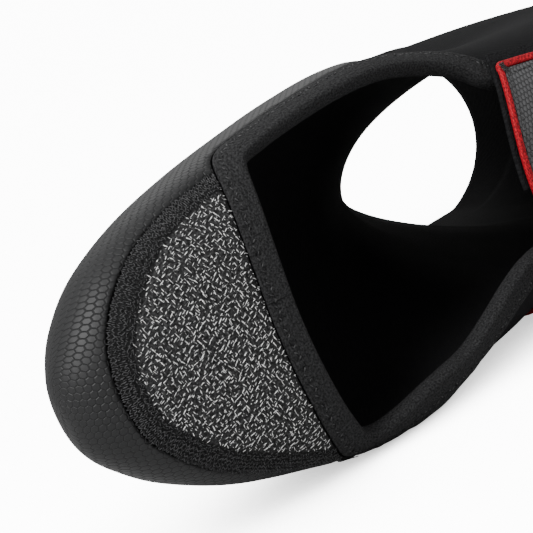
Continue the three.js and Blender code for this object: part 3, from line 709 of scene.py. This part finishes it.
def fleckTree():  # short yarns scattered over a cloth in two directions, clear of its border
    tree, put, finish = meshFlow("yarnFlecks", "Pitch A", "Pitch B", "Length", "Width", "Angle",
                                 "Other Angle", "Border", "Jitter", "Share")
    pitchA, pitchB, width = put["Pitch A"], put["Pitch B"], put["Width"]
    place = wire(tree, "GeometryNodeInputPosition")
    uvMap = readField(tree, "UVMap")

    def scatter(low, high, seedShift):
        return randomField(low, high, put["Seed"] + seedShift)

    def sample(value, where, kind="FLOAT_VECTOR"):
        values = {"Mesh": put["Geometry"], "Sample UV": where, "Value": value, "UV Map": uvMap}
        return wire(tree, "GeometryNodeSampleUVSurface", values, data_type=kind)

    size = fleckField["size"]
    countA, countB = (wire(tree, "ShaderNodeMath", {0: size, 1: pitch}, operation="DIVIDE")
                      for pitch in (pitchA, pitchB))
    grid = wire(tree, "GeometryNodeMeshGrid", {"Size X": size, "Size Y": size, "Vertices X": countA,
                                               "Vertices Y": countB})
    odd = ((place.axis("Y") / pitchB).maths("ROUND") % 2).maths("ABSOLUTE")
    loose = put["Jitter"] * pitchA
    shift = joined(odd * (pitchA * 0.5) + scatter(loose * -1, loose, 1), scatter(loose * -1, loose, 2))
    uv = place.vectors("ADD", shift).vectors("ADD", fleckField["centre"])
    other = scatter(0.0, 1.0, 3) < put["Share"]
    angle = put["Angle"] * other.maths("MULTIPLY_ADD", -1, 1) + put["Other Angle"] * other
    wild = angle + scatter(-0.3, 0.3, 4)
    step = joined(wild.maths("COSINE"), wild.maths("SINE")).scaled(0.0006)
    here = sample(place, uv)
    ahead = sample(place, uv.vectors("ADD", step))
    depth = sample(readField(tree, "fromEdge", "FLOAT"), uv, "FLOAT")
    near = depth < scatter(-0.0006, 0.0006, 6) + put["Border"]
    drop = wire(tree, "FunctionNodeBooleanMath", {0: here.also("Is Valid"), 1: near}, operation="IMPLY")
    points = wire(tree, "GeometryNodeMeshToPoints", {"Mesh": grid})
    for name, value in (("faceUp", sample(wire(tree, "GeometryNodeInputNormal"), uv)),
                        ("heading", ahead.vectors("SUBTRACT", here)), ("spot", here)):
        points = wire(tree, "GeometryNodeStoreNamedAttribute",
                      {"Geometry": points, "Name": name, "Value": value},
                      data_type="FLOAT_VECTOR", domain="POINT")
    kept = wire(tree, "GeometryNodeDeleteGeometry", {"Geometry": points, "Selection": drop}, domain="POINT")
    moved = wire(tree, "GeometryNodeSetPosition", {"Geometry": kept, "Position": readField(tree, "spot")})
    scale = joined(put["Length"] * scatter(0.5, 1.25, 7), width * scatter(0.5, 1.15, 8), width * 0.8)
    return finish(moved, aimed(readField(tree, "faceUp"), readField(tree, "heading")), 5, 4, scale)


stitchRow = stitchTree()
yarnFlecks = fleckTree()


def bakeNodes(carrier, name, flow, numbers, thread):  # numbers: the tree's inputs in order, then the seed
    tree, sockets, inputs = flow
    modifier = carrier.modifiers.new(name, "NODES")
    modifier.node_group = tree
    for key, value in zip((*inputs, "Seed", "Material"), (*numbers, materials[thread])):
        modifier[sockets[key]] = value
    bpy.context.view_layer.update()
    shape = carrier.evaluated_get(bpy.context.evaluated_depsgraph_get())
    mesh = bpy.data.meshes.new_from_object(shape)
    mesh.name = name
    carrier.modifiers.remove(modifier)
    return newObject(name, mesh)


def lineOnLast(lines, heightOf):  # carrier of stitches: lines on the pattern, with the surface's direction
    points, edges, ups = [], [], []
    for line in lines:
        a, b = line.T
        edges += [(len(points) + k, len(points) + k + 1) for k in range(len(line) - 1)]
        points += [tuple(p) for p in onLast(a, b, heightOf(a, b))]
        ups.append(frameOnLast(a, b)[1])
    mesh = bpy.data.meshes.new("line")
    mesh.from_pydata(points, edges, [])
    storeOnPoints(mesh, "faceUp", "FLOAT_VECTOR", "vector", np.vstack(ups))
    return newObject("line", mesh)


def sewStitches(name, lines, heightOf, slotName):
    carrier = lineOnLast(lines, heightOf)
    thread = "borderThread" if name in ("borderHatch", "borderFuzz") else "blackThread"
    piece = bakeNodes(carrier, name, stitchRow, seams[name], thread)
    bpy.data.objects.remove(carrier)
    print(name, len(piece.data.polygons))
    return dress(piece, None, slotName)


def dress(piece, material, slotName, *nodes):
    if material is not None:
        piece.data.materials.clear()
        piece.data.materials.append(material)
    if nodes:
        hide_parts(*nodes)
    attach(piece, "root")
    return piece


upperLook = {"step": 2.1, "around": 60, "mouthInset": 1.5}
mouthLine = closedCurve(mouthPlaces, 420)
patchLine = closedCurve(patchPlaces, 300)


creaseList = (  # station, share of the way around where it fades in, depth (minus) or height, width, lean
    (15.1, 0.55, -0.9, 0.18, 1.6), (15.55, 0.6, 0.7, 0.2, 1.4), (16.1, 0.62, -0.8, 0.22, 1.1),
    (17.2, 0.7, -0.5, 0.3, 0.6), (12.6, 0.75, -0.4, 0.3, -0.8),
)


def creases(a, b):  # soft troughs and ridges where the ankle bends and above the heel
    h = np.zeros_like(a)
    t = tOfA(a)
    share = np.abs(b) / halfLength(t, 1)
    for at, reach, depth, width, lean in creaseList:
        middle = at + lean * (share - 0.8)
        h += depth * np.exp(-((t - middle) / width) ** 2) * smoothStep(share, reach, 1.0)
    return h


def upperHeight(a, b):
    t = tOfA(a)
    hem = shoe["hemStep"] * smoothStep(t, hemStart, hemStart + 0.03)
    return hem + creases(a, b)


upper = cutFromPattern("upperShell", len(sections) - 1, upperLook,
                       [("out", widened(mouthLine, upperLook["mouthInset"]))], upperHeight)
addShell(upper, shoe["wall"])
dress(upper, materials["upper"], "softshell_fabric", "upper")
print("upper", len(upper.data.polygons))

coverLook = {"step": 1.6, "around": 60, "softEdge": 0.6, "rimDrop": 0.4}


def coverLine(count):  # rear edge: a plane leaning back over the instep
    line = []
    t = np.linspace(coverEnd - 3, coverEnd + 3, 300)
    row = np.interp(t, lastT, np.arange(len(lastT)))
    plane = shoe["length"] - shoe["coverLength"] + shoe["coverLean"] * 0.09 * shoe["height"]
    for share in np.linspace(-1, 1, count):
        points = lookUp(lastGrid, row, np.full(len(t), (share + 1) * perHalf))
        at = np.interp(0, plane - points[:, 0] - shoe["coverLean"] * points[:, 2], t)
        line.append((aOfT(at), share * halfLength(at, share)))
    return np.array(line)


tapeLine = widened(mouthLine, shoe["tapeWidth"] + 0.5)
patchHole = widened(patchLine, shoe["gap"])
rearLine = coverLine(2 * coverLook["around"] + 1)


def softRim(d, radius):  # how far a rounded edge drops at distance d from it
    d = np.clip(d / radius, 0, 1)
    return radius * (1 - np.sqrt(1 - (1 - d) ** 2))


def nearest(a, b, *lines):
    places = np.stack([a, b], axis=1)
    return np.min([distanceToRing(places, line) for line in lines], axis=0)


def coverHeight(a, b):
    d = nearest(a, b, tapeLine, patchHole, rearLine)
    return shoe["gap"] + shoe["coverThickness"] - coverLook["rimDrop"] * softRim(d, coverLook["softEdge"])


cover = cutFromPattern("toeCoverPanel", coverEnd + 2.2, coverLook,
                       [("out", tapeLine), ("out", patchHole), ("front", rearLine)], coverHeight)
addShell(cover, shoe["coverThickness"])
dress(cover, materials["cover"], "embossed_coating", "toe_cover")
print("toe cover", len(cover.data.polygons))

patchLook = {"step": 1.2, "around": 80, "thickness": 1.2, "border": 6.4, "narrowing": 1.5,
             "narrows": (22, 40), "softEdge": 1.0, "rimDrop": 0.6, "quiltDepth": 0.18, "quiltWidth": 0.7}


def borderStretch(b):  # the border narrows towards its outer corner
    narrow = patchLook["narrowing"] * smoothStep(b, *patchLook["narrows"])
    return patchLook["border"] / (patchLook["border"] - narrow)


def fromEdge(a, b):
    return nearest(a, b, patchLine) * borderStretch(b)


def patchHeight(a, b):
    seam = (fromEdge(a, b) - patchLook["border"]) / patchLook["quiltWidth"]
    quilt = patchLook["quiltDepth"] * np.exp(-seam ** 2)
    drop = patchLook["rimDrop"] * softRim(nearest(a, b, patchLine, tapeLine), patchLook["softEdge"])
    return shoe["gap"] + patchLook["thickness"] - drop - quilt


patch = cutFromPattern("toePatchCloth", coverEnd, patchLook, [("in", patchLine), ("out", tapeLine)],
                       patchHeight, measure=fromEdge)
yarns = {  # two pitches, length, width, two angles, border, jitter, share of the other angle, seed
    "white": (0.0019, 0.00145, 0.0016, 0.00029, 0.52, 1.98, 0.0064, 0.26, 0.4, 11),
    "grey": (0.0014, 0.00105, 0.0009, 0.00026, 0.52, 1.98, 0.0064, 0.4, 0.5, 29),
}
flecks = bakeNodes(patch, "patchFlecks", yarnFlecks, yarns["white"], "whiteYarn")
crumbs = bakeNodes(patch, "patchCrumbs", yarnFlecks, yarns["grey"], "greyYarn")
addShell(patch, patchLook["thickness"])
dress(patch, materials["patch"], "wear_cloth", "toe_patch")
dress(flecks, None, "wear_cloth")
dress(crumbs, None, "wear_cloth")
print("patch", len(patch.data.polygons), "flecks", len(flecks.data.polygons), len(crumbs.data.polygons))

camera = {"tip": 34.0, "turn": 16.0, "roll": 25.4, "distance": 650.0, "pixelsPerMm": 3.63,
          "aim": (190, 0, 0), "aimPixel": (398.3, 262.8), "frame": 533, "sensor": 36}


def addCamera():
    tip, turn, roll = (math.radians(camera[k]) for k in ("tip", "turn", "roll"))
    back = Vector((math.sin(tip) * math.cos(turn), math.sin(tip) * math.sin(turn), -math.cos(tip)))
    p = (Vector((-1, 0, 0)) + back * back.x).normalized()
    q = back.cross(p)
    right = math.cos(roll) * p - math.sin(roll) * q
    up = math.sin(roll) * p + math.cos(roll) * q
    dx, dy = ((x - camera["frame"] / 2) / camera["pixelsPerMm"] for x in camera["aimPixel"])
    place = Vector(camera["aim"]) - dx * right + dy * up + camera["distance"] * back
    turnAll = Matrix(lieTurn.tolist())
    data = bpy.data.cameras.new("camera")
    data.sensor_width = camera["sensor"]
    data.sensor_fit = "HORIZONTAL"
    data.lens = camera["sensor"] * camera["pixelsPerMm"] * camera["distance"] / camera["frame"]
    data.clip_start = 0.01
    scene.camera = newObject("camera", data)
    axes = Matrix([turnAll @ right, turnAll @ up, turnAll @ back]).transposed()
    spot = (turnAll @ place + Vector(lieShift) + Vector(originShift)) * 0.001
    scene.camera.matrix_world = Matrix.Translation(spot) @ axes.to_4x4()
    print("camera at", [round(x, 4) for x in spot])


addCamera()

# Opening binding: elastic tape folded round the cut edge
tapeLook = {"samples": 1300, "ribPitch": 1.35, "ribHeight": 0.22, "pucker": 0.3, "puckerPitches": (2.3, 3.7),
            "seam": 6.3, "seamReach": 1.6, "waist": 168, "waistReach": 26}
tapeTop = shoe["gap"] + shoe["tapeThickness"]
tapeFoot = -shoe["wall"] - 0.5 - shoe["tapeThickness"]


def tapeProfile():  # closed section of the folded tape: way out from the cut edge, height over the last
    top = [(8.7, 0.42), (8.72, 0.8), (8.6, 1.12), (8.3, 1.3), (7.6, 1.38), (6.9, 1.34), (6.3, 1.22),
           (5.7, 1.34), (4.8, 1.42), (3.6, 1.45), (2.2, 1.42)]
    middle = (tapeTop + tapeFoot) / 2
    reach = (tapeTop - tapeFoot) / 2
    fold = [(1.25 - 1.25 * abs(math.cos(x)), middle + reach * math.sin(x))
            for x in np.linspace(math.pi / 2, -math.pi / 2, 12)]
    under = [(3, 0), (5, 0), (6.8, 0.05), (7, 0.5), (6.8, 0.95), (4, 1), (1.1, 1)]
    inside = [(1.02, -1.2), (1.05, 0.4), (4, 0.4)]
    return np.array(top + fold + [(d, tapeFoot + h) for d, h in under] + inside)


def addTape():
    line = closedCurve(mouthPlaces, tapeLook["samples"])
    out = outwards(line)
    profile = tapeProfile()
    run = runAlong(line)[:, None]
    d, h = profile[None, :, 0], profile[None, :, 1]
    a, b = (line[:, None, k] + out[:, None, k] * d for k in (0, 1))
    waist = np.exp(-((line[:, :1] - tapeLook["waist"]) / tapeLook["waistReach"]) ** 2) * (line[:, 1:] < 0)
    ribs = np.cos(2 * np.pi * run / tapeLook["ribPitch"]) * waist
    first, second = tapeLook["puckerPitches"]
    pucker = np.cos(2 * np.pi * run / first) * 0.5 + np.cos(2 * np.pi * run / second + 1) * 0.5
    nearSeam = np.exp(-((d - tapeLook["seam"]) / tapeLook["seamReach"]) ** 2)
    lift = tapeLook["ribHeight"] * ribs + tapeLook["pucker"] * pucker * nearSeam
    h = h + np.where((h > 1.0) & (d < 8.3), lift, 0)
    uv = (run * 0.001, runAlong(profile)[None] * 0.001)
    return addRun("openingTape", a, b, h, uv, closedAlong=True), line


tape, tapePath = addTape()
dress(tape, materials["tape"], "elastic_tape", "opening_binding")
print("tape", len(tape.data.polygons))

# Strap under the arch, its loop flap and its red edging
strapLook = {"place": 163, "slant": -0.1, "bow": 14.2, "endLean": 0.1, "width": 38, "thickness": 1.2,
             "flapShows": 1.3, "flapReach": 2.6, "flapMargin": 4.5, "hookLength": 35, "level": 9.3,
             "slope": 8.5, "seam": 6, "edgingWidth": 2.1, "edgingHeight": 1.5, "squareness": 0.65,
             "flapThickness": 1.0, "flapRamp": (11, 3)}  # ramp: starts and ends so far before the flap
strapMiddle = strapLook["place"] + strapLook["width"] / 2


def mouthSide(side):  # way around to the opening's edge, beside the middle of the strap
    line = tapePath[np.sign(tapePath[:, 1]) == side]
    (a1, b1), (a2, b2) = line[np.argsort(np.abs(line[:, 0] - strapMiddle))[:2]]
    return float(b1 + (b2 - b1) * (strapMiddle - a1) / (a2 - a1))


flapOuter = mouthSide(1) + shoe["tapeWidth"] + strapLook["flapReach"]
strapOuter = flapOuter - strapLook["flapMargin"]
flapInner = strapOuter - strapLook["hookLength"]
levelEnd = mouthSide(-1) - shoe["tapeWidth"] - strapLook["level"]
strapInner = levelEnd - strapLook["slope"] - strapLook["seam"]
flapBase = tapeTop + shoe["gap"]
strapEdge = strapLook["edgingWidth"] + shoe["gap"]
strapEnd = strapOuter - strapEdge
coatedWidth = strapLook["width"] - 2 * strapEdge


def strapBase(b):
    overFlap = smoothStep(b, *(flapInner - reach for reach in strapLook["flapRamp"]))
    overTape = smoothStep(b, levelEnd - strapLook["slope"], levelEnd)
    return (shoe["gap"] + overTape * (flapBase - shoe["gap"])
            + overFlap * (strapLook["flapThickness"] + shoe["gap"]))


def strapFront(b):
    bow = strapLook["bow"] * (np.maximum(b, 0) / strapOuter) ** 2
    return strapLook["place"] + strapLook["slant"] * b + bow


def addBand(name, inner, outer, front, width, base, thickness):
    share = np.linspace(0, 1, 40)[None]
    along = np.linspace(0, 1, 120)[:, None]
    around = inner + (outer - strapLook["endLean"] * share * width - inner) * along
    a = front(around) + share * width
    uv = (a * 0.001, around * 0.001 + 0.2)
    return addShell(addRun(name, a, around, base(around) + thickness, uv, closedAround=False), thickness)


strap = addBand("archStrap", strapInner, strapEnd, lambda b: strapFront(b) + strapEdge,
                coatedWidth, strapBase, strapLook["thickness"])
flap = addBand("strapFlap", flapInner, flapOuter, lambda b: strapFront(b) - strapLook["flapShows"],
               strapLook["width"] + 2 * strapLook["flapShows"], lambda b: np.full_like(b, flapBase),
               strapLook["flapThickness"])
dress(strap, materials["strap"], "strap_coating", "strap")
dress(flap, materials["loop"], "loop_cloth", "strap_flap")


def strapEdgePlace(b, share):  # a place on the coated middle of the strap, 0 at its front edge, 1 at its rear
    return strapFront(b) + strapEdge + coatedWidth * share


def edgingPath():  # places along the strap's front, end and rear edges, each with its direction outwards
    rearEnd = strapEnd - strapLook["endLean"] * coatedWidth
    turnEnd = math.atan(strapLook["endLean"])
    quarter = math.pi / 2
    steps = [(b, 0, -quarter) for b in np.linspace(strapInner, strapEnd, 110)]
    steps += [(strapEnd, 0, x) for x in np.linspace(-quarter, turnEnd, 9)[1:-1]]
    steps += [(strapEnd + (rearEnd - strapEnd) * f, f, turnEnd) for f in np.linspace(0, 1, 40)]
    steps += [(rearEnd, 1, x) for x in np.linspace(turnEnd, quarter, 9)[1:-1]]
    steps += [(b, 1, quarter) for b in np.linspace(rearEnd, strapInner, 110)]
    b, share, turn = np.array(steps).T
    return np.stack([strapEdgePlace(b, share), b, np.sin(turn), np.cos(turn)], axis=1)


def addEdging():
    path = edgingPath()
    turn = np.linspace(0, 2 * math.pi, 17)[:-1]
    middle, height = (shoe["gap"] + strapEdge) / 2, strapLook["edgingHeight"]
    reach = (strapEdge - shoe["gap"]) / 2

    def squared(x):
        return np.sign(x) * np.abs(x) ** strapLook["squareness"]

    d = middle + reach * squared(np.cos(turn))
    h = height / 2 + (height / 2 + 0.08) * squared(np.sin(turn))
    a, b = (path[:, None, k] + path[:, None, k + 2] * d for k in (0, 1))
    level = strapBase(b) + h[None]
    run = runAlong(onLast(a[:, 0], b[:, 0], level[:, 0]))
    return addRun("redEdging", a, b, level, (run[:, None], np.linspace(0, 0.009, len(turn))[None]))


edging = addEdging()
dress(edging, materials["edging"], "edging_tape", "strap_edging")
print("strap, flap and edging")

seams = {
    "tapeInset": 6.3, "tapeHeight": 1.3, "hatchRows": (0.25, 1.3, 2.35, 3.4), "fuzzRows": (4.4, 5.1, 5.8),
    "strapInset": 1.6, "tackPlaces": (-1.2, -0.6, 0.0, 0.6),
    # spacing, length, width, sway, lean, jitter, stray, seed
    "tapeStitches": (0.0017, 0.0015, 0.0004, 0.0003, 0.7, 0.3, 0.00015, 5),
    "borderHatch": (0.0006, 0.0014, 0.0003, 0.0, 1.2, 0.5, 0.0003, 9),
    "borderFuzz": (0.0007, 0.0011, 0.00026, 0.0, 0.8, 0.9, 0.0006, 17),
    "strapStitches": (0.0021, 0.0017, 0.0004, 0.0, 0.0, 0.0, 0.0, 3),
    "cornerTack": (0.0005, 0.0009, 0.00042, 0.0, 0.9, 0.6, 0.0, 21),
}


def longestRun(keep):
    starts = np.flatnonzero(keep & ~np.roll(keep, 1))
    ends = np.flatnonzero(keep & ~np.roll(keep, -1)) + 1
    longest = int(np.argmax(ends - starts))
    return slice(starts[longest], ends[longest])


def sewAll():
    mouth = closedCurve(mouthPlaces, 900)
    tapeRow = widened(mouth, seams["tapeInset"])
    sewStitches("tapeStitches", [np.vstack([tapeRow, tapeRow[:1]])],
                lambda a, b: np.full_like(a, seams["tapeHeight"]), "elastic_tape")
    border = closedCurve(patchPlaces, 700)
    hidden = widened(mouth, shoe["tapeWidth"] + 0.6)
    for name, insets in (("borderHatch", seams["hatchRows"]), ("borderFuzz", seams["fuzzRows"])):
        rings = [widened(border, -inset / borderStretch(border[:, 1:])) for inset in insets]
        rows = [ring[longestRun(~insideRing(ring, hidden))] for ring in rings]
        sewStitches(name, rows, lambda a, b: patchHeight(a, b) + 0.1, "wear_cloth")
    path = edgingPath()
    strapRow = path[:, :2] - path[:, 2:] * seams["strapInset"]
    sewStitches("strapStitches", [strapRow], lambda a, b: strapBase(b) + strapLook["thickness"] + 0.05,
                "strap_coating")
    corner = np.array([strapEdgePlace(strapEnd, 0), strapEnd])
    tacks = [np.stack([corner + (x, -0.4), corner + (x, 1.5)]) for x in seams["tackPlaces"]]
    sewStitches("cornerTack", tacks, lambda a, b: strapBase(b) + strapLook["edgingHeight"] + 0.2,
                "edging_tape")


sewAll()

stageLook = {"floorSize": 16.0, "floor": 0.55, "floorGlow": 12.0, "shadow": 0.06, "shadowReach": 0.07,
             "sky": 0.62,  # each lamp: name, place, size, power
             "lamps": (("keyLight", (-0.6, -0.25, 0.8), 0.45, 12.5),
                       ("rimLight", (0.35, 0.5, 0.5), 0.5, 0.8))}


def addStage():
    half = stageLook["floorSize"] / 2
    corners = [(-half, -half, 0), (half, -half, 0), (half, half, 0), (-half, half, 0)]
    floor = makeObject("floor", corners, [(0, 1, 2, 3)])
    material, inputs = newMaterial("paleFloor", (stageLook["floor"],) * 3, 0.9)
    tree = material.node_tree
    inputs["Emission Color"].default_value = (1, 1, 1, 1)
    openSky = wire(tree, "ShaderNodeAmbientOcclusion", {"Distance": stageLook["shadowReach"]}, "AO",
                   samples=8)
    # painted shadow: ambient occlusion dims the floor's camera-only glow near the shoe
    soft = ramp(openSky, 0.0, 0.95, stageLook["shadow"], 1.0)
    seen = wire(tree, "ShaderNodeLightPath", output="Is Camera Ray")
    plug(inputs["Emission Strength"], seen * (soft * stageLook["floorGlow"]))
    floor.data.materials.append(material)
    world = bpy.data.worlds.new("studio")
    scene.world = world
    world.use_nodes = True
    background = world.node_tree.nodes["Background"]
    background.inputs[0].default_value = (1, 1, 1, 1)
    background.inputs[1].default_value = stageLook["sky"]
    for name, place, size, power in stageLook["lamps"]:
        data = bpy.data.lights.new(name, "AREA")
        data.shape = "DISK"
        data.size = size
        data.energy = power
        lamp = newObject(name, data)
        aim = Vector((0, 0, 0.05)) - Vector(place)
        lamp.matrix_world = Matrix.Translation(place) @ aim.to_track_quat("-Z", "Y").to_matrix().to_4x4()


addStage()
